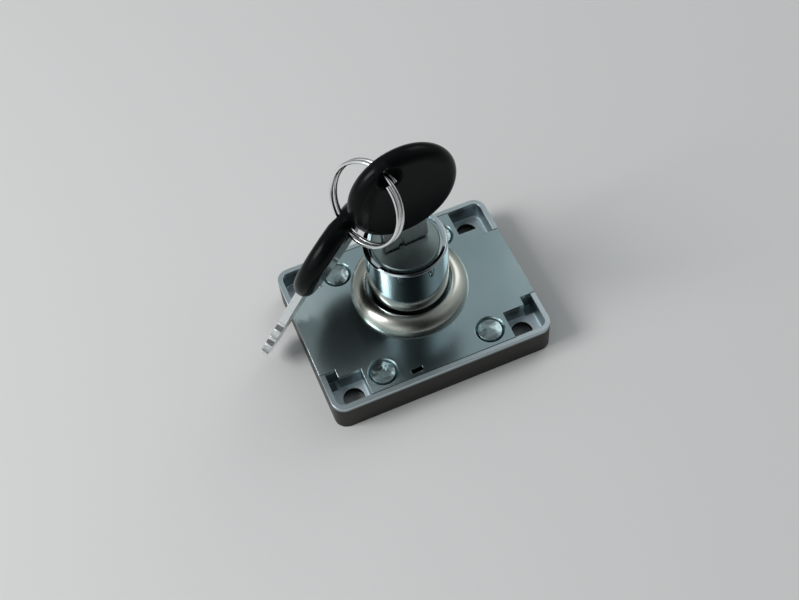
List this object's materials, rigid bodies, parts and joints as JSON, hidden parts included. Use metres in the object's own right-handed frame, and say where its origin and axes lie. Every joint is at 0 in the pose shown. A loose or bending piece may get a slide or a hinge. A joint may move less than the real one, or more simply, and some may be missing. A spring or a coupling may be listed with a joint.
{
  "type": "drawer lock",
  "caption": "Surface-mounted drawer lock: flat rectangular case with a keyed cylinder, a bolt in its long edge, a trim ring, and keys on a split ring.",
  "frame": {"origin": "the cylinder's axis where it meets the front face of the cover plate, which bears on the back of the drawer front", "axes": "+Z along the cylinder, out of the drawer front; +Y towards the edge that the bolt leaves; +X to the right seen from the front with +Y up"},
  "size_m": [0.0635, 0.0406, 0.0577],
  "materials": {
    "case_zinc": "satin zinc-plated die casting",
    "cover_steel": "bright zinc-plated sheet",
    "rivet_steel": "bright zinc plate",
    "barrel_chrome": "polished chrome plate",
    "plug_nickel": "turned and nickel-plated",
    "wafer_brass": "stamped brass",
    "spring_steel": "drawn spring wire",
    "cam_steel": "zinc-plated pressing",
    "bolt_zinc": "satin zinc-plated die casting",
    "trim_nickel": "polished nickel plate",
    "key_steel": "nickel-plated steel",
    "key_plastic": "black gloss moulding",
    "ring_nickel": "nickel-plated spring wire"
  },
  "bodies": {
    "case": {"lock_case": "case_zinc", "cover_plate": "cover_steel", "cover_rivet_1": "rivet_steel", "cover_rivet_2": "rivet_steel", "cover_rivet_3": "rivet_steel", "cover_rivet_4": "rivet_steel", "cylinder_barrel": "barrel_chrome"},
    "plug": {"plug": "plug_nickel", "drive_cam": "cam_steel", "wafer_1": "wafer_brass", "wafer_2": "wafer_brass", "wafer_3": "wafer_brass", "wafer_4": "wafer_brass", "wafer_5": "wafer_brass", "wafer_spring_1": "spring_steel", "wafer_spring_2": "spring_steel", "wafer_spring_3": "spring_steel", "wafer_spring_4": "spring_steel", "wafer_spring_5": "spring_steel"},
    "bolt": {"bolt": "bolt_zinc"},
    "trim_ring": {"trim_ring": "trim_nickel"},
    "key_1": {"key_1_blade": "key_steel", "key_1_head": "key_plastic"},
    "split_ring": {"split_ring": "ring_nickel"},
    "key_2": {"key_2_blade": "key_steel", "key_2_head": "key_plastic"}
  },
  "joints": [
    {"name": "plug_turn", "type": "hinge", "parent": "case", "child": "plug", "pos_m": [0, 0, 0.0183], "axis": [0, 0, -1], "range_deg": [0, 90]},
    {"name": "bolt_slide", "type": "slide", "parent": "case", "child": "bolt", "axis": [0, 1, 0], "range_m": [0, 0.007]},
    {"name": "trim_slide", "type": "slide", "parent": "case", "child": "trim_ring", "axis": [0, 0, 1], "range_m": [0, 0.0085]},
    {"name": "key_slide", "type": "slide", "parent": "plug", "child": "key_1", "axis": [0, 0, 1], "range_m": [0, 0.022]},
    {"name": "ring_swing", "type": "hinge", "parent": "key_1", "child": "split_ring", "pos_m": [-0.00299, -0.00022, 0.0451], "axis": [-0.075, 0.9972, 0], "range_deg": [0, 22.5]},
    {"name": "key_2_swing", "type": "hinge", "parent": "split_ring", "child": "key_2", "pos_m": [-0.01272, 0.00238, 0.02897], "axis": [-0.5622, 0.7514, 0.3455], "range_deg": [0, 20]}
  ],
  "couplings": [
    {"joint": "bolt_slide", "follows": "plug_turn", "m_per_rad": 0.0044563},
    {"joint": "ring_swing", "follows": "plug_turn", "ratio": 0.25}
  ]
}
